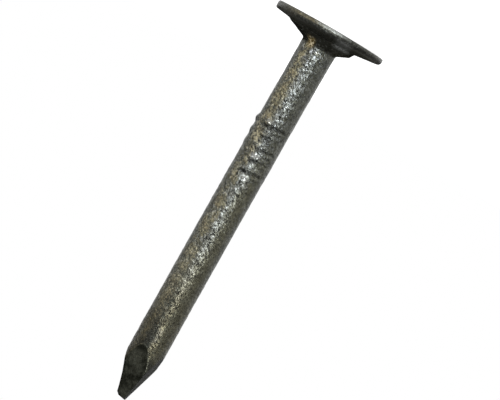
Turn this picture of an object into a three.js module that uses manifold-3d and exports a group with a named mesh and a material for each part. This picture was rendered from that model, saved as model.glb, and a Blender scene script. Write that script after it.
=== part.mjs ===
// A galvanised clout nail: one piece of round steel wire. It has a thin wide forged head, a neck
// with two webs under the head, grip grooves across both sides of the shank and a four-sided point.
//
// Millimetres. The struck face of the head lies on z = 0, with the shank's axis through the origin,
// and the shank runs along +Z to the point. The forging dies meet at +X and -X, where they leave
// the webs and burrs, and the grip grooves face -Y and +Y.

import * as THREE from 'three';
import { mergeVertices } from 'three/addons/utils/BufferGeometryUtils.js';
import Module from 'manifold-3d';

// Overall sizes
const NAIL_LENGTH = 35.4;
const SHANK_DIAMETER = 3.05;
const HEAD_DIAMETER = 10.0;

// Head: a disc with a rounded rim, forged a little off the shank's axis. Its struck face is flat and
// falls away slightly near the rim, more so on the -X side. Its underside rises towards the neck.
const HEAD_OFFSET = 0.2;
const RIM_HEIGHT = 0.68;
const RIM_ROUNDING = 0.22;
const STRUCK_FLAT_DIAMETER = 5.2;
const CROWN_DROP_THICK_SIDE = 0.03;
const CROWN_DROP_THIN_SIDE = 0.12;
const UNDERSIDE_SLOPE = 0.125;

// Neck: reach is how far it runs out from the shank, height how far it stands above the rim.
// The long web is on +X. The web on -X is shorter and ends in a blunt step.
const LONG_WEB = { reach: 1.98, height: 1.03 };
const STEPPED_WEB = { reach: 1.38, height: 1.22 };
const PLAIN_NECK = { reach: 0.85, height: 1.22 };
const STEP_INSET = 0.28;
const STEP_HEIGHT = 0.36;
const NECK_OVERLAP = 0.1;

// Grip grooves, counted from the head, with the same row on both sides of the shank
const GRIP_COUNT = 5;
const GRIP_START = 9.68;
const GRIP_PITCH = 1.06;
const GRIP_DEPTH = 0.15;
const GRIP_WIDTH = 0.36;
const GRIP_HALF_ARC = THREE.MathUtils.degToRad(42);
const GRIP_TURN = THREE.MathUtils.degToRad(4);

// Burrs: metal that the dies push up beside the first grooves, where they meet
const BURR_HEIGHTS = [0.17, 0.1, 0.06];
const BURR_LENGTH = 0.78;
const BURR_THICKNESS = 0.9;
const BURR_SETBACK = 0.27;

// Point: four flat facets that run in to a small blunt end with a bevel, a little off the axis
const POINT_FACETS = 4;
const POINT_LENGTH = 4.5;
const POINT_OFFSET = 0.06;
const POINT_END_WIDTH = 0.6;
const POINT_BEVEL_WIDTH = 0.85;
const POINT_BEVEL_LENGTH = 0.35;
const POINT_TURN = THREE.MathUtils.degToRad(11);

// How finely round shapes are divided
const HEAD_SEGMENTS = 72;
const SHANK_SEGMENTS = 48;
const RIM_ARC_STEPS = 3;

const shankRadius = SHANK_DIAMETER / 2;
const headRadius = HEAD_DIAMETER / 2;
const lerp = THREE.MathUtils.lerp;

const wasm = await Module();
wasm.setup();

function toSolid(geometry) {
  geometry.deleteAttribute('normal');
  geometry.deleteAttribute('uv');
  const merged = mergeVertices(geometry, 1e-5);
  return new wasm.Manifold(new wasm.Mesh({
    numProp: 3,
    vertProperties: new Float32Array(merged.attributes.position.array),
    triVerts: new Uint32Array(merged.index.array),
  }));
}

function toGeometry(solid) {
  const mesh = solid.getMesh();
  const geometry = new THREE.BufferGeometry();
  geometry.setAttribute('position', new THREE.BufferAttribute(mesh.vertProperties, mesh.numProp));
  geometry.setIndex(new THREE.BufferAttribute(mesh.triVerts, 1));
  geometry.computeVertexNormals();
  return geometry;
}

// A closed surface swept about the Z axis, with an outline of its own at each angle. Each outline
// starts and ends on the axis, and all have as many points.
function sweptSurface(outlineAt, segments) {
  const outlines = [];
  for (let i = 0; i < segments; i += 1) {
    outlines.push(outlineAt((i / segments) * 2 * Math.PI));
  }
  const last = outlines[0].length - 1;
  const corners = [];
  outlines.forEach((here, i) => {
    const next = outlines[(i + 1) % segments];
    corners.push(here[0], next[1], here[1]);
    for (let k = 1; k < last - 1; k += 1) {
      corners.push(here[k], next[k], next[k + 1]);
      corners.push(here[k], next[k + 1], here[k + 1]);
    }
    corners.push(here[last - 1], next[last - 1], here[last]);
  });
  return new THREE.BufferGeometry().setFromPoints(corners);
}

// Head and neck. An outline is a row of (radius, height) points at one angle about the axis.

function rimArc(centreZ, startDegrees) {
  const points = [];
  for (let step = 0; step <= RIM_ARC_STEPS; step += 1) {
    const turn = THREE.MathUtils.degToRad(startDegrees + (90 * step) / RIM_ARC_STEPS);
    const radius = headRadius - RIM_ROUNDING + RIM_ROUNDING * Math.cos(turn);
    points.push(new THREE.Vector2(radius, centreZ + RIM_ROUNDING * Math.sin(turn)));
  }
  return points;
}

function discOutline(angle) {
  const thinness = (1 - Math.cos(angle)) / 2;
  const crownDrop = lerp(CROWN_DROP_THICK_SIDE, CROWN_DROP_THIN_SIDE, thinness);
  return [
    new THREE.Vector2(0, 0),
    new THREE.Vector2(STRUCK_FLAT_DIAMETER / 2, 0),
    ...rimArc(crownDrop + RIM_ROUNDING, -90),
    ...rimArc(RIM_HEIGHT - RIM_ROUNDING, 0),
  ];
}

function neckOutline(angle) {
  const sideways = Math.cos(angle) ** 2;
  const steppedSide = Math.cos(angle) < 0;
  const web = steppedSide ? STEPPED_WEB : LONG_WEB;
  const reach = lerp(PLAIN_NECK.reach, web.reach, sideways);
  const top = RIM_HEIGHT + lerp(PLAIN_NECK.height, web.height, sideways);
  const foot = RIM_HEIGHT + UNDERSIDE_SLOPE * (headRadius - shankRadius - reach);
  const slope = (top - foot) / reach;
  const straightRise = STEP_INSET * slope;
  const stepRise = steppedSide ? lerp(straightRise, STEP_HEIGHT, sideways) : straightRise;
  return [
    new THREE.Vector2(shankRadius + reach, foot),
    new THREE.Vector2(shankRadius + reach - STEP_INSET, foot + stepRise),
    new THREE.Vector2(shankRadius - NECK_OVERLAP, top + NECK_OVERLAP * slope),
    new THREE.Vector2(0, RIM_HEIGHT),
  ];
}

function headAndNeck() {
  const place = (point, centreX, angle) => new THREE.Vector3(
    centreX + point.x * Math.cos(angle),
    point.x * Math.sin(angle),
    point.y,
  );
  const outlineAt = (angle) => {
    const [centre, ...disc] = discOutline(angle);
    return [
      place(centre, 0, angle),
      ...disc.map((point) => place(point, -HEAD_OFFSET, angle)),
      ...neckOutline(angle).map((point) => place(point, 0, angle)),
    ];
  };
  return toSolid(sweptSurface(outlineAt, HEAD_SEGMENTS));
}

// Shank

function plainShank() {
  const start = RIM_HEIGHT / 2;
  const geometry = new THREE.CylinderGeometry(
    shankRadius, shankRadius, NAIL_LENGTH - start, SHANK_SEGMENTS,
  );
  geometry.rotateX(Math.PI / 2);
  geometry.translate(0, 0, (start + NAIL_LENGTH) / 2);
  return toSolid(geometry);
}

// A V-shaped ring, wider than the shank and set back, so that only its near part bites in
function grooveCutter(z, turn) {
  const chordX = shankRadius * Math.sin(GRIP_HALF_ARC);
  const chordY = shankRadius * Math.cos(GRIP_HALF_ARC);
  const bulge = shankRadius - GRIP_DEPTH - chordY;
  const floorRadius = (chordX ** 2 + bulge ** 2) / (2 * bulge);
  const outerRadius = floorRadius + 2 * GRIP_DEPTH;
  const section = [
    new THREE.Vector2(floorRadius, 0),
    new THREE.Vector2(outerRadius, -GRIP_WIDTH),
    new THREE.Vector2(outerRadius, GRIP_WIDTH),
    new THREE.Vector2(floorRadius, 0),
  ];
  const geometry = new THREE.LatheGeometry(section, SHANK_SEGMENTS);
  geometry.rotateX(Math.PI / 2);
  geometry.translate(0, floorRadius - (shankRadius - GRIP_DEPTH), z);
  geometry.rotateZ(turn);
  return toSolid(geometry);
}

function cutGripGrooves(solid) {
  let result = solid;
  for (let i = 0; i < GRIP_COUNT; i += 1) {
    const z = GRIP_START + i * GRIP_PITCH;
    result = result.subtract(grooveCutter(z, -GRIP_TURN));
    result = result.subtract(grooveCutter(z, Math.PI - GRIP_TURN));
  }
  return result;
}

function addBurrs(solid) {
  let result = solid;
  BURR_HEIGHTS.forEach((height, i) => {
    const geometry = new THREE.SphereGeometry(1, 16, 10);
    geometry.scale(2 * height, BURR_THICKNESS / 2, BURR_LENGTH / 2);
    const z = GRIP_START + i * GRIP_PITCH - BURR_SETBACK;
    geometry.translate(shankRadius - height, 0, z);
    result = result.add(toSolid(geometry));
  });
  return result;
}

// Point

// A block whose inner face is the plane through one radius at one height and another at the next
function facetCutter(turn, nearZ, nearRadius, farZ, farRadius) {
  const slope = Math.atan2(nearRadius - farRadius, farZ - nearZ);
  const length = 4 * (farZ - nearZ);
  const geometry = new THREE.BoxGeometry(SHANK_DIAMETER, 2 * SHANK_DIAMETER, length);
  geometry.translate(SHANK_DIAMETER / 2, 0, 0);
  geometry.rotateY(-slope);
  geometry.translate((nearRadius + farRadius) / 2, 0, (nearZ + farZ) / 2);
  geometry.rotateZ(turn);
  geometry.translate(-POINT_OFFSET, 0, 0);
  return toSolid(geometry);
}

function cutPoint(solid) {
  const start = NAIL_LENGTH - POINT_LENGTH;
  const bevel = NAIL_LENGTH - POINT_BEVEL_LENGTH;
  const bevelRadius = POINT_BEVEL_WIDTH / 2;
  const endRadius = POINT_END_WIDTH / 2;
  let result = solid;
  for (let i = 0; i < POINT_FACETS; i += 1) {
    const turn = (i / POINT_FACETS) * 2 * Math.PI + POINT_TURN;
    result = result.subtract(facetCutter(turn, start, shankRadius, bevel, bevelRadius));
    result = result.subtract(facetCutter(turn, bevel, bevelRadius, NAIL_LENGTH, endRadius));
  }
  return result;
}

const shank = cutPoint(cutGripGrooves(addBurrs(plainShank())));
const nailMaterial = new THREE.MeshStandardMaterial({
  color: 0x66645c,
  roughness: 0.45,
  metalness: 0.85,
});
const nail = new THREE.Mesh(toGeometry(headAndNeck().add(shank)), nailMaterial);
nail.name = 'nail';

const model = new THREE.Group();
model.add(nail);

export default model;
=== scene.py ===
# The looks of the galvanised clout nail: one fine mesh in place of the faceted CAD nail, a mottled
# zinc finish, and a plain white studio. The nail's lengths are in millimetres, which MM turns into
# metres, and the studio's are in metres. Angles named turn are in degrees round the shank: 0 is the
# -Y side, and they grow towards -X. Heights are measured from the struck face towards the point.

import math

import bpy
from mathutils import Matrix, Vector, noise


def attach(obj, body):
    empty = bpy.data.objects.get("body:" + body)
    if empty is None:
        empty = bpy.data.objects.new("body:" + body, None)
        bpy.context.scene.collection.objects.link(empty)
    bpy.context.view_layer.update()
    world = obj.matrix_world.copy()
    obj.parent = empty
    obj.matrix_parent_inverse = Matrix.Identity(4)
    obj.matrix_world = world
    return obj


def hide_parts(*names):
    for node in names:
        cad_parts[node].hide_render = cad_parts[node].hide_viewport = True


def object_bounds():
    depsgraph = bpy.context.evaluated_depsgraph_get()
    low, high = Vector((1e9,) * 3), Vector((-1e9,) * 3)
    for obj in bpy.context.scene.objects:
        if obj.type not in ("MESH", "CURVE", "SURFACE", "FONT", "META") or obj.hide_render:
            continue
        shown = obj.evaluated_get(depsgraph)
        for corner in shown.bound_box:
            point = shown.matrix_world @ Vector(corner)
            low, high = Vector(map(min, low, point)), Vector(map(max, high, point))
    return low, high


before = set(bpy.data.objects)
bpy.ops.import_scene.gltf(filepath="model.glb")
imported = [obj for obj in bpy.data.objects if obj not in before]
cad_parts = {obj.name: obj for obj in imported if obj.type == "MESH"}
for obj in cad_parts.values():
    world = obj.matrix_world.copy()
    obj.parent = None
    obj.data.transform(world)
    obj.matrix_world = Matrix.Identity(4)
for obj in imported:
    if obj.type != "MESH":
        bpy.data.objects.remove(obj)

cad_low, cad_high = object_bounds()

MM = 0.001

# Overall sizes, from the CAD model's box
LENGTH = cad_high.z / MM
HEAD_RADIUS = (cad_high.y - cad_low.y) / 2 / MM
HEAD_CENTRE_X = (cad_high.x + cad_low.x) / 2 / MM

# Shank: a little wider than the CAD model's, for the crests of the zinc, and wider still at its ends
SHANK_RADIUS = 1.555
THICKER_BY_HEAD = 0.035
THICK_UP_TO = 2
THICKNESS_FADES_OVER = 2
THICKER_BY_POINT = 0.004
THICKENS_FROM = 22
THICK_FROM = 28

# The wire isn't quite straight: its middle stands towards +X, and its ends towards -X
BOW = 0.023                   # of its middle
BOW_MIDDLE = 16
BOW_SPAN = 18                 # between the two places where it crosses the axis

# Head: its thick side is +X and its thin side is -X
RIM_HEIGHT = 0.68
STRUCK_FLAT_RADIUS = 1.4
STRUCK_FLAT_ROUNDING = 0.5
STRUCK_EDGE_DROP = 0.02
STRUCK_EDGE_DROP_THIN_SIDE = 0.137
STRUCK_EDGE_ROUNDING = 0.17
RIM_ROUNDING = 0.42
RIM_ROUNDING_THICK_SIDE = 0.2
THIN_SIDE_RISE = 0.025
UNDERSIDE_SLOPE = 0.125

# Neck: the webs and the plain stretches between them reach out from the shank by the first length
# and stand above the rim by the second. The long web is on +X, and the one on -X ends in a step.
LONG_WEB = (1.98, 1.03)
STEPPED_WEB = (1.32, 1.18)
PLAIN_NECK = (0.85, 1.3)
STEPPED_FOOT_RISE = 0.04
STEP_INSET = 0.28
STEP_HEIGHT = 0.42
FOOT_ROUNDING = 0.22
STEPPED_FOOT_ROUNDING = 0.06
STEP_ROUNDING = 0.1
NECK_TOP_ROUNDING = 0.16
NECK_RUN_OUT = 0.2            # how far the head's outline follows the shank past the neck
ONTO_AXIS_OVER = 0.3          # above the rim, where the outline's centre shifts to the shank's

# The point: four faces pinched onto the round wire. Each has its direction in degrees from +X, how far
# from the end it starts, how steeply it comes in, how hollow it is, and over what length it eases in.
POINT_FACES = (
    (13, 4.1, 0.43, 0.039, 0.05),
    (103, 4.9, 0.26, 0, 0.26),
    (193, 4.85, 0.28, 0, 0.2),
    (-72.8, 5.2, 0.26, 0, 0.26),
)
POINT_ZONE = 6                # the faces all start within this length of the end
SHARPEST_CORNER = -32         # degrees from +X
CORNER_POWERS = (14, 40)      # of the softest and the sharpest corner
EDGE_SOFTNESS = 0.03
BEVEL_LENGTH = 0.35
END_RADIUS = 0.3
END_SLANT = 0.19

# Each grip groove: its height, the turns where it starts and ends, and its depth
GROOVES = (
    (9.65, -37, 44, 0.13),
    (10.65, -23, 30, 0.11),
    (11.73, -2, 53, 0.10),
    (12.81, -23, 30, 0.13),
    (13.89, -30, 40, 0.12),
)
GRIP_ZONE = (9.0, 14.7)
GRIP_SIDES = (0, 180)
GROOVE_WIDTH = 0.085
GROOVE_END_SOFTNESS = 4       # degrees
GROOVE_REACH = 12             # degrees past its end, beyond which a groove is left out
GROOVE_LEAN = 0.4             # share by which it is deeper where it starts and shallower where it ends
GROOVE_BEND = 0.14            # a radian from the middle of its side
GROOVE_SLANT = 0.07           # a radian from the middle of its side
GROOVE_WANDER = (2.5, 0.03)   # how finely it wanders, and how far

# On each side of a groove the metal is pushed up into a lip
LIP_DISTANCE = 0.27
LIP_HEIGHT = 0.035
LIP_WIDTH = 0.13
LIP_CHANGE = (3, 1.5)         # how finely its height changes, and by what share

# Burrs on the +X side: height on the shank, and how far each stands out
BURRS = ((9.41, 0.17), (10.47, 0.1), (11.53, 0.06))
BURR_TURN = -90
BURR_LENGTH = 0.3
BURR_WIDTH = 17               # degrees

# Drops of zinc: turn, height on the shank, and the drop's radius and height
DROPS = (
    (0, 14.42, 0.17, 0.06),
    (-22, 9.3, 0.2, 0.06),
    (-14, 12.45, 0.22, 0.05),
    (6, 12.4, 0.16, 0.05),
    (88, 12.6, 0.4, 0.035),
    (150, 5.2, 0.2, 0.05),
    (-140, 8.4, 0.25, 0.05),
    (-165, 19.5, 0.18, 0.05),
    (120, 24.0, 0.22, 0.04),
)

# The zinc's unevenness: how fine it is, its height, and where its noise is read. It is drawn out
# along the wire. It is lower on the head, and on the drops and the cut faces.
ZINC_LUMPS = (
    (0.7, 0.008, (0, 0, 0)),
    (2.1, 0.016, (7, 3, 1)),
    (6.0, 0.02, (2, 9, 4)),
)
LUMPS_DRAWN_OUT = 0.62
LUMPS_ON_HEAD = 0.5
HEAD_LUMPS_UP_TO = 0.3        # above the rim
LUMPS_LOST_WHERE_SMOOTH = 0.6
SMOOTH_FROM = 0.03            # depth of a cut face, or height of a drop, that counts as all smooth

# How finely the mesh is divided: columns round the nail, rows along the wire before, in and past the
# grooves, and for each run of the head's outline, points on the run and on the corner at its end
COLUMNS = 184
ROWS = (78, 104, 230)
HEAD_STEPS = ((8, 3), (12, 5), (1, 9), (12, 4), (2, 4), (8, 5), (1, 0))
FIRST_ROW_GAP = 0.09
END_RINGS = (0.7, 0.4, 0)     # shares of the blunt end's radius


# Shape of the nail

def lerp(a, b, t):
    return a + (b - a) * t


def rounded_path(corners, steps):
    """Points along straight runs between corners, with each inner corner cut by a small curve.

    corners: (radius, height, cut length); steps: (points on the run to it, points on its curve)."""
    path = []
    leave = Vector(corners[0][:2])
    for i in range(1, len(corners)):
        corner = Vector(corners[i][:2])
        cut = corners[i][2]
        into = (corner - leave).normalized()
        reach = corner - into * cut
        run_points, curve_points = steps[i - 1]
        path += [leave.lerp(reach, k / run_points) for k in range(run_points)]
        if i == len(corners) - 1:
            break
        onward = (Vector(corners[i + 1][:2]) - corner).normalized()
        leave = corner + onward * cut
        for k in range(curve_points):
            t = k / curve_points
            path.append(reach.lerp(corner, t).lerp(corner.lerp(leave, t), t))
    return path


def disc_corners(angle):
    """The disc's outline at one angle from +X, from the struck face's centre to the rim's top."""
    thinness = (1 - math.cos(angle)) / 2
    drop = lerp(STRUCK_EDGE_DROP, STRUCK_EDGE_DROP_THIN_SIDE, max(-math.cos(angle), 0))
    rim_rounding = lerp(RIM_ROUNDING, RIM_ROUNDING_THICK_SIDE, max(math.cos(angle), 0) ** 4)
    rim_rounding = min(rim_rounding, RIM_HEIGHT - drop - STRUCK_EDGE_ROUNDING)
    return [
        (0, 0, 0),
        (STRUCK_FLAT_RADIUS, 0, STRUCK_FLAT_ROUNDING),
        (HEAD_RADIUS, drop, STRUCK_EDGE_ROUNDING),
        (HEAD_RADIUS, RIM_HEIGHT + THIN_SIDE_RISE * thinness, rim_rounding),
    ]


def neck_corners(angle):
    """The neck's outline at one angle from +X, from its foot on the disc to the shank."""
    sideways = math.cos(angle) ** 2
    stepped = math.cos(angle) < 0
    web_reach, web_height = STEPPED_WEB if stepped else LONG_WEB
    reach = lerp(PLAIN_NECK[0], web_reach, sideways)
    top = RIM_HEIGHT + lerp(PLAIN_NECK[1], web_height, sideways)
    foot = RIM_HEIGHT + UNDERSIDE_SLOPE * (HEAD_RADIUS - SHANK_RADIUS - reach)
    foot += STEPPED_FOOT_RISE * max(-math.cos(angle), 0)
    straight_rise = (top - foot) / reach * STEP_INSET
    stepness = sideways if stepped else 0
    step_rise = lerp(straight_rise, STEP_HEIGHT, stepness)
    run_out = top + NECK_RUN_OUT
    return [
        (SHANK_RADIUS + reach, foot, lerp(FOOT_ROUNDING, STEPPED_FOOT_ROUNDING, stepness)),
        (SHANK_RADIUS + reach - STEP_INSET, foot + step_rise, STEP_ROUNDING),
        (round_radius(top), top, NECK_TOP_ROUNDING),
        (round_radius(run_out), run_out, 0),
    ]


def soft_min(a, b, width):
    overlap = max(width - abs(a - b), 0) / width
    return min(a, b) - overlap ** 2 * width / 4


def round_radius(z):
    """Radius of the round wire, which is a little thicker by the head and by the point."""
    by_head = math.exp(-max(z - THICK_UP_TO, 0) / THICKNESS_FADES_OVER)
    by_point = min(max((z - THICKENS_FROM) / (THICK_FROM - THICKENS_FROM), 0), 1)
    return SHANK_RADIUS + THICKER_BY_HEAD * by_head + THICKER_BY_POINT * by_point


def section_radius(angle, z):
    """Radius of the wire at an angle from +X and a height: round, then pinched into four faces."""
    wire = round_radius(z)
    bevel = LENGTH - BEVEL_LENGTH
    power = lerp(*CORNER_POWERS, (1 + math.cos(angle - math.radians(SHARPEST_CORNER))) / 2)
    total = 0
    for direction, length, slope, hollow, ease in POINT_FACES:
        facing = math.cos(angle - math.radians(direction))
        along = min(z, bevel) - (LENGTH - length)
        run = math.hypot(max(along, 0), ease) - ease
        face = wire + EDGE_SOFTNESS - slope * run + hollow * run ** 2
        if z > bevel:
            face = lerp(face, END_RADIUS, (z - bevel) / BEVEL_LENGTH)
        total += (max(facing, 0) / face) ** power
    return soft_min(total ** (-1 / power), wire, EDGE_SOFTNESS)


def row_heights(start):
    """Heights of the rows along the wire, closer together where the grooves are."""
    ends = (start, *GRIP_ZONE, LENGTH)
    heights = []
    for low, high, rows in zip(ends, ends[1:], ROWS):
        heights += [lerp(low, high, k / rows) for k in range(rows)]
    return heights + [LENGTH]


def wire_path(angle, start):
    """Outline of shank and point at one angle, from the neck to the middle of the blunt end."""
    path = [Vector((section_radius(angle, z), z)) for z in row_heights(start)]
    rim = path[-1].x
    return path + [Vector((rim * share, LENGTH)) for share in END_RINGS]


def bow(z):
    """How far the middle of the wire stands towards +X at a height."""
    return BOW * (1 - ((z - BOW_MIDDLE) / (BOW_SPAN / 2)) ** 2)


def head_point(p, angle):
    """The place of a point of the head's outline, whose centre shifts to the shank's at the neck."""
    onto_shank = min(max((p.y - RIM_HEIGHT) / ONTO_AXIS_OVER, 0), 1)
    centre = lerp(HEAD_CENTRE_X, bow(p.y), onto_shank)
    return Vector((centre + p.x * math.cos(angle), p.x * math.sin(angle), p.y))


def wire_point(p, angle):
    """The place of a point of the wire's outline. The blunt end slants a little."""
    x = p.x * math.cos(angle)
    at_end = max(p.y - (LENGTH - BEVEL_LENGTH), 0) / BEVEL_LENGTH
    z = p.y - END_SLANT * at_end * (x + END_RADIUS)
    return Vector((bow(p.y) + x, p.x * math.sin(angle), z))


def nail_grid():
    """Columns of points, each from the struck face's centre to the end's centre. The first runs down
    the middle of a face of the point, and so do those a quarter and half a turn on."""
    columns = []
    for j in range(COLUMNS):
        angle = math.radians(POINT_FACES[0][0]) + 2 * math.pi * j / COLUMNS
        head = rounded_path(disc_corners(angle) + neck_corners(angle), HEAD_STEPS)
        wire = wire_path(angle, head[-1].y + FIRST_ROW_GAP)
        columns.append([head_point(p, angle) for p in head] + [wire_point(p, angle) for p in wire])
    return columns


def grid_mesh(columns):
    """One closed mesh through the columns of points, whose first and last rows are single points."""
    rows = len(columns[0])
    count = len(columns)
    points = [columns[0][0]]
    for k in range(1, rows - 1):
        points += [column[k] for column in columns]
    points.append(columns[0][-1])
    last = len(points) - 1

    def at(j, k):
        return 1 + (k - 1) * count + j % count

    faces = []
    for j in range(count):
        faces.append((0, at(j + 1, 1), at(j, 1)))
        faces.append((last, at(j, rows - 2), at(j + 1, rows - 2)))
        for k in range(1, rows - 2):
            faces.append((at(j, k), at(j + 1, k), at(j + 1, k + 1), at(j, k + 1)))
    mesh = bpy.data.meshes.new("nail_surface")
    mesh.from_pydata([p * MM for p in points], [], faces)
    mesh.update()
    return mesh


# Relief of the surface, in millimetres along its normal

def hill(distance, width):
    """A smooth bump: 1 at its middle, and about a third one width away from it."""
    return math.exp(-(distance / width) ** 2)


def degrees_between(a, b):
    return (a - b + 180) % 360 - 180


def zinc_relief(p):
    q = Vector((p.x, p.y, p.z * LUMPS_DRAWN_OUT))
    height = 0
    for fineness, rise, shift in ZINC_LUMPS:
        height += noise.noise(q * fineness + Vector(shift)) * rise
    return height


def groove_relief(p, turn, side, groove):
    """One groove on one side of the shank, with its lips."""
    z, first, last, depth = groove
    off = degrees_between(turn, side + (first + last) / 2)
    half = (last - first) / 2
    if abs(off) > half + GROOVE_REACH:
        return 0
    fade = 1 / (1 + math.exp((abs(off) - half) / GROOVE_END_SOFTNESS))
    fade *= 1 - GROOVE_LEAN * off / half
    aside = math.radians(degrees_between(turn, side))
    away = p.z - z - GROOVE_BEND * aside ** 2 + GROOVE_SLANT * aside
    fineness, wander = GROOVE_WANDER
    away += wander * noise.noise(p * fineness)
    fineness, change = LIP_CHANGE
    lip = LIP_HEIGHT * (1 + change * noise.noise(p * fineness))
    lip *= fade * hill(abs(away) - LIP_DISTANCE, LIP_WIDTH)
    return lip - depth * fade * hill(away, GROOVE_WIDTH)


def grip_relief(p, turn):
    """The grooves on the near side and the far side, and the burrs beside them."""
    if not GRIP_ZONE[0] < p.z < GRIP_ZONE[1]:
        return 0
    height = 0
    for groove in GROOVES:
        for side in GRIP_SIDES:
            height += groove_relief(p, turn, side, groove)
    for z, rise in BURRS:
        around = hill(degrees_between(turn, BURR_TURN), BURR_WIDTH)
        height += rise * hill(p.z - z, BURR_LENGTH) * around
    return height


def drop_relief(p, turn):
    height = 0
    for at, z, radius, rise in DROPS:
        if abs(p.z - z) < 2 * radius:
            around = math.radians(degrees_between(turn, at)) * SHANK_RADIUS
            height += rise * hill(math.hypot(around, p.z - z), radius)
    return height


def how_cut(p):
    """1 on the flat faces of the point, 0 on the round wire."""
    if p.z < LENGTH - POINT_ZONE:
        return 0
    radius = math.hypot(p.x - bow(p.z), p.y)
    return min(max((round_radius(p.z) - radius) / SMOOTH_FROM, 0), 1)


def add_relief(mesh):
    """Moves the points along their normals, and keeps three measures for the material to use: how
    high each point stands, and how far it is on a cut face of the point and on a drop of zinc."""
    relief = mesh.attributes.new("relief", "FLOAT", "POINT")
    cut = mesh.attributes.new("cut", "FLOAT", "POINT")
    drop = mesh.attributes.new("drop", "FLOAT", "POINT")
    normals = [n.vector.copy() for n in mesh.vertex_normals]
    for i, vertex in enumerate(mesh.vertices):
        p = vertex.co / MM
        turn = math.degrees(math.atan2(-p.x, -p.y))
        cut.data[i].value = how_cut(p)
        on_drop = drop_relief(p, turn)
        drop.data[i].value = min(on_drop / SMOOTH_FROM, 1)
        smooth = max(cut.data[i].value, drop.data[i].value)
        height = zinc_relief(p) * (1 - LUMPS_LOST_WHERE_SMOOTH * smooth)
        if p.z < RIM_HEIGHT + HEAD_LUMPS_UP_TO:
            height *= LUMPS_ON_HEAD
        height += grip_relief(p, turn) + on_drop
        relief.data[i].value = height
        vertex.co += normals[i] * height * MM
    mesh.update()


# Tools for materials

class Number:
    """A number that varies over a surface. Reckoning with it adds nodes to the material."""

    def __init__(self, shading, socket):
        self.shading = shading
        self.socket = socket

    def __add__(self, other):
        return self.shading.math("ADD", self, other)

    def __sub__(self, other):
        return self.shading.math("SUBTRACT", self, other)

    def __rsub__(self, other):
        return self.shading.math("SUBTRACT", other, self)

    def __mul__(self, other):
        return self.shading.math("MULTIPLY", self, other)

    def __abs__(self):
        return self.shading.math("ABSOLUTE", self)

    def larger(self, other):
        return self.shading.math("MAXIMUM", self, other)

    def rise(self, low, high, to_low=0.0, to_high=1.0):
        """A smooth change from to_low, where this is low, to to_high, where it's high."""
        made = self.shading.node("MapRange", interpolation_type="SMOOTHSTEP", clamp=True)
        values = {"Value": self, "From Min": low, "From Max": high, "To Min": to_low, "To Max": to_high}
        self.shading.put_all(made, values)
        return Number(self.shading, made.outputs["Result"])

    def near(self, middle, full, none):
        """1 within full of the middle, and 0 beyond none from it."""
        return abs(self - middle).rise(full, none, 1.0, 0.0)


class Shading:
    """Adds and joins the nodes of one material."""

    def __init__(self, name):
        self.material = bpy.data.materials.new(name)
        self.material.use_nodes = True
        self.tree = self.material.node_tree
        self.shader = self.tree.nodes["Principled BSDF"]

    def put(self, socket, value):
        if isinstance(value, Number):
            value = value.socket
        if isinstance(value, bpy.types.NodeSocket):
            self.tree.links.new(value, socket)
        elif socket.type == "RGBA":
            socket.default_value = (*value, 1)
        else:
            socket.default_value = value

    def put_all(self, node, values):
        for name, value in values.items():
            self.put(node.inputs[name], value)

    def node(self, kind, **settings):
        made = self.tree.nodes.new("ShaderNode" + kind)
        for name, value in settings.items():
            setattr(made, name, value)
        return made

    def math(self, operation, a, b=0.0):
        made = self.node("Math", operation=operation)
        self.put(made.inputs[0], a)
        self.put(made.inputs[1], b)
        return Number(self, made.outputs[0])

    def kept(self, name):
        """A measure that the mesh keeps at its points."""
        return Number(self, self.node("Attribute", attribute_name=name).outputs["Fac"])

    def split(self, vector):
        made = self.node("SeparateXYZ")
        self.put(made.inputs[0], vector)
        return [Number(self, output) for output in made.outputs]

    def vector(self, operation, a, b=None, scale=None):
        made = self.node("VectorMath", operation=operation)
        self.put(made.inputs[0], a)
        if b is not None:
            self.put(made.inputs[1], b)
        if scale is not None:
            self.put(made.inputs["Scale"], scale)
        return made.outputs[0]

    def noise(self, vector, scale, detail=2.0, roughness=0.5, distortion=0.0, output="Fac"):
        made = self.node("TexNoise")
        self.put_all(made, {"Vector": vector, "Scale": scale, "Detail": detail})
        self.put_all(made, {"Roughness": roughness, "Distortion": distortion})
        return Number(self, made.outputs[output])

    def crystals(self, vector, scale):
        """A random colour for each cell of a pattern of crystals."""
        made = self.node("TexVoronoi", voronoi_dimensions="3D", feature="F1")
        self.put_all(made, {"Vector": vector, "Scale": scale})
        return made.outputs["Color"]

    def mix(self, factor, a, b):
        made = self.node("Mix", data_type="RGBA")
        self.put_all(made, {"Factor": factor, "A": a, "B": b})
        return made.outputs["Result"]

    def coated(self, colour, *coats):
        """A colour with others laid over it in turn, each given as (how much of it, colour)."""
        for factor, coat in coats:
            colour = self.mix(factor, colour, coat)
        return colour


# Zinc. Colours are linear red, green and blue.

MIDDLE_GREY = (0.5, 0.5, 0.5)

DARK_ZINC = (0.066, 0.067, 0.052)
PALE_ZINC = (0.112, 0.114, 0.095)
# Painted highlight for the highlight streak, cool and warm; these two also colour pale crystals all
# over
HIGHLIGHT_AND_PALE_CRYSTALS = (0.245, 0.257, 0.261)
WARM_HIGHLIGHT_AND_PALE_CRYSTALS = (0.28, 0.24, 0.15)
# A painted glint in the highlight streak by the point
PAINTED_GLINT_BY_POINT = (0.66, 0.61, 0.5)
# Painted glints in the highlight streak: cool, warm towards the point, and bluish by the neck
PAINTED_GLINTS = (0.5, 0.52, 0.525)
WARM_PAINTED_GLINTS = (0.56, 0.5, 0.35)
PAINTED_GLINTS_BY_NECK = (0.72, 0.76, 0.82)
# Painted shade in pits, wrinkles and low grain, where the bump is low
HOLLOW_SHADE = (0.014, 0.014, 0.013)
# Painted shade in the grooves and other hollows of the mesh
RECESS_SHADE = (0.012, 0.012, 0.011)
# A painted highlight on the drops of zinc
DROP_HIGHLIGHT = (0.32, 0.32, 0.31)

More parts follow.
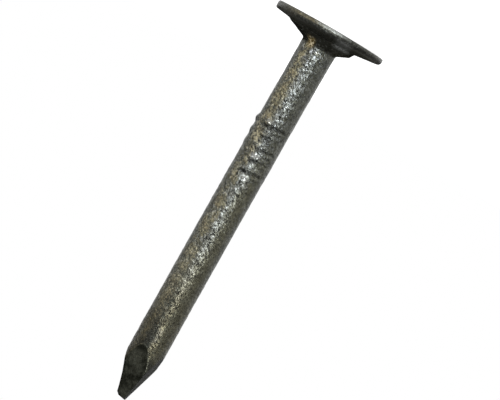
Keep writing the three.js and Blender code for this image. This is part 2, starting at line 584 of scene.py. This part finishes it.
TAN = (0.22, 0.2, 0.123)
RUSTY_TAN = (0.16, 0.12, 0.07)
PALE_TAN = (0.31, 0.285, 0.185)
DARK_TAN_CRYSTALS = (0.032, 0.029, 0.018)
DEEPER_TAN = (0.03, 0.027, 0.018)
GRIP_TAN = (0.4, 0.36, 0.255)
# Painted shade in the tan's low marks in the gripped stretch
GRIP_HOLLOW_SHADE = (0.03, 0.026, 0.016)
TAN_SPOTS = (0.46, 0.43, 0.32)
OLIVE = (0.1, 0.093, 0.058)
DARK_OLIVE = (0.068, 0.063, 0.04)
# Painted shade by the point: brown, grey, and black above the front cut face
BROWN_POINT_SHADE = (0.033, 0.0295, 0.018)
GREY_POINT_SHADE = (0.024, 0.0245, 0.0215)
BLACK_POINT_SHADE = (0.011, 0.011, 0.0095)

RIM = (0.062, 0.062, 0.056)
TAN_RIM = (0.14, 0.12, 0.078)
RIM_SIDES = (0.1, 0.099, 0.088)
# A painted highlight on the rim
RIM_HIGHLIGHT = (0.36, 0.37, 0.36)
# Painted shade on the rim's top, towards the underside
SHADED_RIM_TOP = (0.036, 0.036, 0.032)
UNDERSIDE = (0.085, 0.084, 0.072)
# Painted shade on the neck, where it meets the head
SHADED_NECK = (0.027, 0.0265, 0.0205)
# A painted sheen on the head's underside by the neck
PAINTED_NECK_SHEEN = (0.29, 0.298, 0.288)
NECK_STEP = (0.075, 0.074, 0.065)
HEAD_SPECKLES = (0.022, 0.022, 0.018)
STRUCK_SPECKLES = (0.03, 0.03, 0.026)
HEAD_SPOTS = (0.2, 0.2, 0.185)
DARK_RUST = (0.055, 0.039, 0.014)
PALE_RUST = (0.27, 0.195, 0.078)
RUST_SPOTS = (0.62, 0.53, 0.36)
# Painted shade on the point's cut faces, then the paler mottled colour of their patches
CUT_FACE_SHADE = (0.0068, 0.0071, 0.0052)
PALER_CUT_FACE = (0.061, 0.062, 0.049)

FULL_TINT = (1, 1, 1)
# Cuts the edge reflection of the head's underside and neck, as painted shade
HEAD_SHADE_TINT = (0.2, 0.2, 0.185)

# Soft patches: an olive stain, and painted shade by the point. Each has its middle and how far from it
# it is full and gone, as turns, the heights where it starts and is full, its strength, and how much
# its edges stray.
OLIVE_STAIN = ((24, 12, 42), (10, 17), 0.6, 0.4)
POINT_SHADE_PATCHES = (
    ((-22, 17, 40), (23, 30.5), 0.95, 0.4),
    ((-95, 35, 55), (25, 31), 0.8, 0),
    ((28, 8, 25), (31.2, 31.9), 0.8, 0),
    ((-52, 14, 28), (30.6, 31.4), 0.95, 0),
)

# The highlight streak, painted on the zinc where the key lamp's reflection also falls. Each row has two
# heights, and the value at each: the turn of its middle, half its width in degrees, and its strength by
# the point.
HIGHLIGHT_STREAK_TURN = (9, 30, -3, 7)
HIGHLIGHT_STREAK_HALF_WIDTH = (18, 30, 25, 11)
HIGHLIGHT_STREAK_CORE = 2               # half the width, in degrees, of its brightest part
HIGHLIGHT_STREAK_END = (30.3, 31.8, 1.0, 0.2)
HIGHLIGHT_STREAK_STRAY = 0.5

# How far the edges of stains, of painted shade and of the painted highlight streak stray, in degrees,
# by patches and crystal by crystal
STRAY_BY_PATCH = 60
STRAY_BY_CRYSTAL = 16

# The material's patterns run aslant round the shank
PATTERN_SLANT = 40            # degrees
PATTERN_STRETCH = (1, 1, 0.6)
CRYSTALS_PER_MM = 9
CRYSTAL_WANDER = 0.14
CRYSTAL_LEAN = 0.32
BUMP_DEPTH = 0.035


class Place:
    """What the parts of the zinc material need to know about a place on the nail."""

    def __init__(self, m):
        in_mm = m.vector("SCALE", m.node("TexCoord").outputs["Object"], scale=1 / MM)
        self.x, y, self.z = m.split(in_mm)
        self.turn = m.math("ARCTAN2", self.x * -1.0, y * -1.0) * math.degrees(1)
        self.relief = m.kept("relief")
        self.cut = m.kept("cut")
        self.drop = m.kept("drop")
        self.round = 1 - self.cut
        self.on_head = self.z.rise(1.8, 2.15, 1.0, 0.0)
        self.struck = self.z.rise(0.02, 0.05, 1.0, 0.0)
        self.gripped = self.z.near(11.8, 2.3, 3.2)

        # One side is smoother than the rest
        self.rough_side = 1 - self.turn.near(62, 25, 48) * 0.45

        slanted = m.node("VectorRotate", rotation_type="Y_AXIS")
        m.put_all(slanted, {"Vector": in_mm, "Angle": math.radians(PATTERN_SLANT)})
        slanted = m.vector("MULTIPLY", slanted.outputs[0], PATTERN_STRETCH)
        self.add_crystals(m, slanted)
        self.add_patches(m, in_mm)
        self.add_marks(m, slanted)
        self.add_highlight_streak()

    def add_crystals(self, m, slanted):
        wander = m.noise(slanted, 4.0, detail=2, output="Color")
        wander = m.vector("SUBTRACT", wander, MIDDLE_GREY)
        wander = m.vector("SCALE", wander, scale=CRYSTAL_WANDER)
        self.crystal = m.crystals(m.vector("ADD", slanted, wander), CRYSTALS_PER_MM)
        scatter, self.tint, self.fleck = m.split(self.crystal)
        self.scatter = scatter - 0.5

    def add_patches(self, m, in_mm):
        self.mottle = m.noise(in_mm, 1.5, detail=5, roughness=0.65)
        self.patches = m.noise(in_mm, 0.8, detail=6, roughness=0.65, distortion=0.4)
        self.broken = m.noise(in_mm, 1.1, detail=4, roughness=0.6, distortion=0.2)
        self.stray = (self.patches - 0.5) * STRAY_BY_PATCH + self.scatter * STRAY_BY_CRYSTAL

    def add_marks(self, m, slanted):
        self.grain = m.noise(slanted, 9.0, detail=3, roughness=0.6)
        self.speckle = m.noise(slanted, 7.5, detail=4, roughness=0.7).rise(0.42, 0.58)
        self.marks = m.noise(slanted, 5.5, detail=3, roughness=0.55, distortion=0.3)
        self.black = self.marks.rise(0.365, 0.46, 1.0, 0.0) * self.round
        self.white = self.marks.rise(0.56, 0.68) * self.round
        creases = abs(m.noise(slanted, 2.6, detail=4, roughness=0.6, distortion=0.5) - 0.5)
        self.wrinkle = creases.rise(0.0, 0.025, 1.0, 0.0) * self.round

    def add_highlight_streak(self):
        """How far a place is in the painted highlight streak, which wanders, and narrows towards the
        point.
        """
        off = self.turn - self.z.rise(*HIGHLIGHT_STREAK_TURN) + self.stray * HIGHLIGHT_STREAK_STRAY
        half_width = self.z.rise(*HIGHLIGHT_STREAK_HALF_WIDTH)
        across = abs(off).rise(HIGHLIGHT_STREAK_CORE, half_width, 1.0, 0.0)
        self.highlight_streak = across * self.round * self.z.rise(*HIGHLIGHT_STREAK_END)

    def soft_patch(self, across, along, strength, stray):
        """How far a place is in a soft patch: one row of the tables above, of the olive stain and of
        painted shade by the point.
        """
        turn = self.turn + self.stray * stray if stray else self.turn
        return turn.near(*across) * self.z.rise(*along, 0.0, strength) * self.round


def mottled_zinc(m, at):
    return m.mix(at.mottle.rise(0.35, 0.68), DARK_ZINC, PALE_ZINC)


def bare_zinc(m, at):
    """Mottled zinc with pale crystals, a painted highlight along the streak, and painted glints in it.
    """
    warmth = at.z.rise(20, 29)
    highlight_and_crystals = m.mix(warmth, HIGHLIGHT_AND_PALE_CRYSTALS, WARM_HIGHLIGHT_AND_PALE_CRYSTALS)
    highlight_colour = m.mix(at.z.near(29.45, 0.35, 0.95), highlight_and_crystals, PAINTED_GLINT_BY_POINT)
    glints = m.mix(warmth, PAINTED_GLINTS, WARM_PAINTED_GLINTS)
    glints = m.mix(at.z.near(2.8, 0.4, 1.1), glints, PAINTED_GLINTS_BY_NECK)
    return m.coated(
        mottled_zinc(m, at),
        # Painted highlight along the highlight streak
        (at.highlight_streak * at.z.rise(3, 30, 0.28, 0.6), highlight_colour),
        (at.fleck.rise(0.5, 1.0, 0.0, 0.6) * at.round * at.rough_side, highlight_and_crystals),
        # Painted glints, mostly in the highlight streak
        (at.white * at.highlight_streak.rise(0.0, 1.0, 0.25, 0.9) * at.rough_side, glints),
    )


def tan_stain(at):
    """How tan a place is: a broken band along the shank, and patches all round it."""
    band = (at.turn + at.stray * 0.9).near(-36, 6, 33) * at.z.rise(17, 28, 0.95, 0.55)
    band = band * at.broken.rise(0.4, 0.54, 0.12, 1.0)
    tan = band.larger(at.patches.rise(0.62, 0.7, 0.0, 0.6))
    return tan * at.z.rise(1.2, 2.0, 0.25, 1.0) * at.round * at.marks.rise(0.38, 0.52, 0.55, 1.0)


def tan_zinc(m, at):
    """The tan stain's colour, with more contrast in the gripped stretch."""
    return m.coated(
        TAN,
        (at.mottle.rise(0.42, 0.56, 1.0, 0.0) * 0.7, RUSTY_TAN),
        (at.speckle * 0.75, PALE_TAN),
        (at.tint.rise(0.12, 0.32, 0.85, 0.0), DARK_TAN_CRYSTALS),
        (at.z.rise(4, 11, 0.0, 0.32), DEEPER_TAN),
        (at.mottle.rise(0.5, 0.58) * at.gripped * 0.6, GRIP_TAN),
        # Painted shade in low marks of the bump
        (at.black * at.gripped * 0.85, GRIP_HOLLOW_SHADE),
        (at.white * (at.gripped * 0.3 + 0.7), TAN_SPOTS),
    )


def point_shade_mask(at):
    """How far a place is in painted shade by the point, by the strongest of its patches there."""
    point_shade, *others = [at.soft_patch(*soft_patch) for soft_patch in POINT_SHADE_PATCHES]
    for other in others:
        point_shade = point_shade.larger(other)
    return point_shade


# Painted shade by the point: brown, then grey round the front, and black just above the front cut face
def point_shade(m, at):
    above_face = at.turn.near(-24, 12, 26) * at.z.rise(30.0, 30.6)
    colour = m.mix(at.turn.rise(-40, -15), BROWN_POINT_SHADE, GREY_POINT_SHADE)
    return m.mix(above_face, colour, BLACK_POINT_SHADE)


def hollow_shade_mask(at):
    """How far a place is in painted shade in a pit, a wrinkle or a gap in the grain, where the bump is
    low.
    """
    hollows = at.black * at.highlight_streak.rise(0.0, 0.6, 0.6, 0.95)
    hollows = hollows.larger(at.wrinkle * 0.8) * at.rough_side
    return hollows.larger(at.grain.rise(0.36, 0.5, 0.5, 0.0) * at.round)


def head_zinc(m, at):
    """Head and neck zinc: painted shade on the rim's top and neck, a painted sheen, and a paler rim."""
    beside = abs(at.turn).rise(30, 60)
    # A painted sheen on the -X side of the head's underside, by the neck
    painted_sheen = at.x.near(-1.7, 0.3, 1.0) * at.z.near(0.93, 0.16, 0.5)
    step = at.x.near(-1.7, 0.4, 0.9) * at.z.rise(1.2, 1.5)
    return m.coated(
        RIM,
        (at.turn.near(-35, 22, 60), TAN_RIM),
        (beside, RIM_SIDES),
        # Painted shade on the rim's top
        (at.z.rise(0.26, 0.38) * (1 - beside * 0.6), SHADED_RIM_TOP),
        (at.z.rise(0.55, 0.75), UNDERSIDE),
        # Painted shade on the neck
        (at.z.rise(0.85, 1.25), SHADED_NECK),
        (painted_sheen * 0.9, PAINTED_NECK_SHEEN),
        (step, NECK_STEP),
        (at.speckle * 0.7, HEAD_SPECKLES),
        (at.white * 0.4, HEAD_SPOTS),
    )


def struck_zinc(m, at):
    """The face that is struck: mottled all over, as the painted highlight streak and the stains stop at
    its edge.
    """
    return m.coated(
        mottled_zinc(m, at),
        (at.speckle * 0.5, STRUCK_SPECKLES),
        (at.white * 0.4, HEAD_SPOTS),
    )


def cut_face_zinc(m, at):
    """The point's cut faces, painted dark as shade: nearly black where they start, and mottled paler
    past that.
    """
    paler = at.turn.near(-25, 10, 40) * at.z.near(31.7, 0.5, 1.2) * 0.7
    paler = (at.mottle.rise(0.35, 0.65) * 0.55).larger(paler)
    paler = paler * at.z.rise(30.85, 31.45, 0.05, 1.0) * at.turn.rise(-58, -44, 0.3, 1.0)
    return m.mix(paler, CUT_FACE_SHADE, PALER_CUT_FACE)


def rust_stain(at):
    """How far a place is in the rusty patch on the neck."""
    patch = at.turn.near(-27, 4, 17) * at.z.rise(1.25, 1.7) * at.z.rise(1.9, 2.4, 1.0, 0.0)
    return patch * at.mottle.rise(0.3, 0.42)


def rust(m, at):
    colour = m.mix(at.speckle, DARK_RUST, PALE_RUST)
    return m.mix(at.marks.rise(0.53, 0.62), colour, RUST_SPOTS)


def set_finish(m, at, tan, rusty):
    """How metallic, rough and tinted the surface is: stains are duller than bare zinc."""
    rough = at.grain.rise(0.35, 0.65, 0.27, 0.42) + tan * 0.08 - at.drop * 0.15
    # The neck and the head's underside mirror little at a grazing angle, which paints shade on them
    tint = m.mix(at.z.rise(0.4, 0.9) * at.on_head, FULL_TINT, HEAD_SHADE_TINT)
    m.put_all(m.shader, {
        "Metallic": 1 - (tan * 0.3).larger(rusty * 0.6),
        "Roughness": rough + at.on_head * 0.08 + at.cut * 0.1,
        "Specular Tint": tint,
    })


def set_normal(m, at):
    """A fine unevenness, and crystals that each lean their own way."""
    calm = (at.cut * 0.6).larger(at.drop * 0.8).larger(at.on_head * 0.3)
    lively = (1 - calm) * at.rough_side * at.z.rise(18, 28, 1.0, 0.8)
    lively = lively * (at.turn.near(-75, 20, 40) * 0.4 + 1.0)
    uneven = m.node("Bump")
    m.put_all(uneven, {
        "Distance": BUMP_DEPTH * MM,
        "Height": at.grain * 0.6 + at.marks * 1.4 + at.mottle - at.wrinkle * 0.5,
        "Strength": lively,
    })
    lean = m.vector("SUBTRACT", at.crystal, MIDDLE_GREY)
    lean = m.vector("SCALE", lean, scale=lively * CRYSTAL_LEAN)
    tilted = m.vector("ADD", uneven.outputs["Normal"], lean)
    m.put(m.shader.inputs["Normal"], m.vector("NORMALIZE", tilted))


def zinc_material():
    m = Shading("galvanised_zinc")
    at = Place(m)
    tan = tan_stain(at)
    rusty = rust_stain(at)
    # A painted highlight along the rim just below the struck face's edge, on the -Y side
    rim_highlight = at.z.near(0.14, 0.1, 0.2) * at.turn.near(4, 3, 22)
    # Painted shade where the mesh's relief is low
    recess_shade_mask = at.relief.rise(-0.12, -0.03, 0.75, 0.0) * at.mottle.rise(0.35, 0.6, 0.5, 1.0)
    colour = m.coated(
        # Zinc with its painted highlight streak and painted glints
        bare_zinc(m, at),
        (tan, tan_zinc(m, at)),
        (at.soft_patch(*OLIVE_STAIN), m.mix(at.z.rise(20, 30), OLIVE, DARK_OLIVE)),
        # Painted shade by the point
        (point_shade_mask(at), point_shade(m, at)),
        # Painted shade in the hollows of the bump
        (hollow_shade_mask(at), HOLLOW_SHADE),
        # The head's colours, with their painted shade and painted sheen
        (at.z.rise(0.2, 0.4, 0.7, 0.95) * at.on_head, head_zinc(m, at)),
        # Painted highlight on the rim
        (rim_highlight * 0.6, RIM_HIGHLIGHT),
        # The cut faces, painted dark as shade
        (at.cut * 0.95, cut_face_zinc(m, at)),
        (rusty, rust(m, at)),
        (at.struck, struck_zinc(m, at)),
        # Painted shade in the grooves
        (recess_shade_mask, RECESS_SHADE),
        # Painted highlight on the drops, strongest in the highlight streak
        (at.drop * (at.highlight_streak * 0.6 + 0.1), DROP_HIGHLIGHT),
    )
    m.put(m.shader.inputs["Base Color"], colour)
    set_finish(m, at, tan * (1 - at.struck), rusty)
    set_normal(m, at)
    return m.material


def make_nail():
    nail = bpy.data.objects.new("nail_visual", grid_mesh(nail_grid()))
    bpy.context.scene.collection.objects.link(nail)
    add_relief(nail.data)
    for polygon in nail.data.polygons:
        polygon.use_smooth = True
    nail.data.materials.append(zinc_material())
    return nail


nail = make_nail()
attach(nail, "root")
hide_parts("nail")


# Studio

FLOOR_HALF = 0.4
FLOOR_COLOUR = (0.85, 0.85, 0.85, 1)
FLOOR_ROUGHNESS = 0.8
FLOOR_GLOW = 0.93

# The sky's brightness, at sines of the angle above the horizon
SKY = ((0.03, 1.0), (0.13, 0.06), (0.24, 0.06), (0.45, 0.38))


def seen_directly(tree):
    """1 for camera, glossy and transmission rays, 0 for the rest."""
    rays = tree.nodes.new("ShaderNodeLightPath")
    total = rays.outputs["Is Camera Ray"]
    for name in ("Is Glossy Ray", "Is Transmission Ray"):
        larger = tree.nodes.new("ShaderNodeMath")
        larger.operation = "MAXIMUM"
        tree.links.new(total, larger.inputs[0])
        tree.links.new(rays.outputs[name], larger.inputs[1])
        total = larger.outputs[0]
    return total


def floor_material():
    """Pale and matt, with a glow that the camera, metal and glass see, so that it shows as white."""
    material = bpy.data.materials.new("white_floor")
    material.use_nodes = True
    tree = material.node_tree
    shader = tree.nodes["Principled BSDF"]
    shader.inputs["Base Color"].default_value = FLOOR_COLOUR
    shader.inputs["Roughness"].default_value = FLOOR_ROUGHNESS
    dim = tree.nodes.new("ShaderNodeMath")
    dim.operation = "MULTIPLY"
    dim.inputs[1].default_value = FLOOR_GLOW
    glow = tree.nodes.new("ShaderNodeEmission")
    both = tree.nodes.new("ShaderNodeAddShader")
    tree.links.new(seen_directly(tree), dim.inputs[0])
    tree.links.new(dim.outputs[0], glow.inputs["Strength"])
    tree.links.new(shader.outputs[0], both.inputs[0])
    tree.links.new(glow.outputs[0], both.inputs[1])
    tree.links.new(both.outputs[0], tree.nodes["Material Output"].inputs["Surface"])
    return material


def make_floor():
    mesh = bpy.data.meshes.new("floor")
    signs = ((-1, -1), (1, -1), (1, 1), (-1, 1))
    mesh.from_pydata([(x * FLOOR_HALF, y * FLOOR_HALF, 0) for x, y in signs], [], [(0, 1, 2, 3)])
    mesh.materials.append(floor_material())
    floor = bpy.data.objects.new("floor", mesh)
    bpy.context.scene.collection.objects.link(floor)


def make_sky():
    """White up to the horizon and dim above, so that the metal mirrors white from the side."""
    world = bpy.data.worlds.new("studio")
    bpy.context.scene.world = world
    world.use_nodes = True
    tree = world.node_tree
    coords = tree.nodes.new("ShaderNodeTexCoord")
    split = tree.nodes.new("ShaderNodeSeparateXYZ")
    ramp = tree.nodes.new("ShaderNodeValToRGB")
    stops = ramp.color_ramp.elements
    for k, (height, brightness) in enumerate(SKY):
        stop = stops[k] if k < len(stops) else stops.new(height)
        stop.position = height
        stop.color = (brightness, brightness, brightness, 1)
    tree.links.new(coords.outputs["Generated"], split.inputs[0])
    tree.links.new(split.outputs["Z"], ramp.inputs["Fac"])
    tree.links.new(ramp.outputs[0], tree.nodes["Background"].inputs["Color"])


def area_lamp(name, azimuth, elevation, distance, width, height, radiance, colour=(1, 1, 1)):
    """A soft panel that faces the nail. Azimuth 0 is the camera's side, and it grows towards -X."""
    data = bpy.data.lights.new(name, "AREA")
    data.shape = "RECTANGLE"
    data.size = width
    data.size_y = height
    data.energy = radiance * math.pi * width * height
    data.color = colour
    lamp = bpy.data.objects.new(name, data)
    a = math.radians(azimuth)
    e = math.radians(elevation)
    away = Vector((-math.sin(a) * math.cos(e), -math.cos(a) * math.cos(e), math.sin(e)))
    lamp.location = Vector((0, 0, LENGTH / 2 * MM)) + away * distance
    lamp.rotation_euler = away.to_track_quat("Z", "Y").to_euler()
    lamp.visible_camera = False
    bpy.context.scene.collection.objects.link(lamp)


make_floor()
make_sky()
area_lamp("key_panel", 5, 14, distance=1.0, width=0.34, height=0.4, radiance=18, colour=(0.95, 1, 1))
area_lamp("left_panel", -64, 8, distance=1.0, width=0.5, height=0.28, radiance=5, colour=(1, 0.94, 0.8))
area_lamp("back_panel", 150, 38, distance=1.0, width=0.3, height=0.3, radiance=1.2)


# Camera, on the nail's -Y side and raised slightly towards its point. The picture is turned, so that
# the head is up and to the right in it. Lengths are in millimetres, as the nail's are.

VIEW_ELEVATION = math.radians(0.4)
VIEW_TILT = math.radians(29.54)
VIEW_DISTANCE = 1200
VIEW_WIDTH = 41.667           # what the picture takes in at the nail
SENSOR_WIDTH = 36
CLIP_START = 0.05             # metres
CLIP_END = 10                 # metres
AIM = (0.033, 0, 16.94)
AIM_RIGHT = 1.733             # of the picture's middle, from AIM
AIM_UP = 0.375


def make_camera():
    data = bpy.data.cameras.new("camera")
    data.sensor_width = SENSOR_WIDTH
    data.lens = SENSOR_WIDTH * VIEW_DISTANCE / VIEW_WIDTH
    data.clip_start = CLIP_START
    data.clip_end = CLIP_END
    camera = bpy.data.objects.new("camera", data)
    bpy.context.scene.collection.objects.link(camera)
    bpy.context.scene.camera = camera
    towards_head = Vector((0, -math.sin(VIEW_ELEVATION), -math.cos(VIEW_ELEVATION)))
    across = Vector((-1, 0, 0))
    right = math.sin(VIEW_TILT) * towards_head + math.cos(VIEW_TILT) * across
    up = math.cos(VIEW_TILT) * towards_head - math.sin(VIEW_TILT) * across
    back = right.cross(up)
    place = Vector(AIM) + right * AIM_RIGHT + up * AIM_UP + back * VIEW_DISTANCE
    turned = Matrix((right, up, back)).transposed().to_4x4()
    camera.matrix_world = Matrix.Translation(place * MM) @ turned


make_camera()
bpy.context.scene.view_settings.view_transform = "Standard"
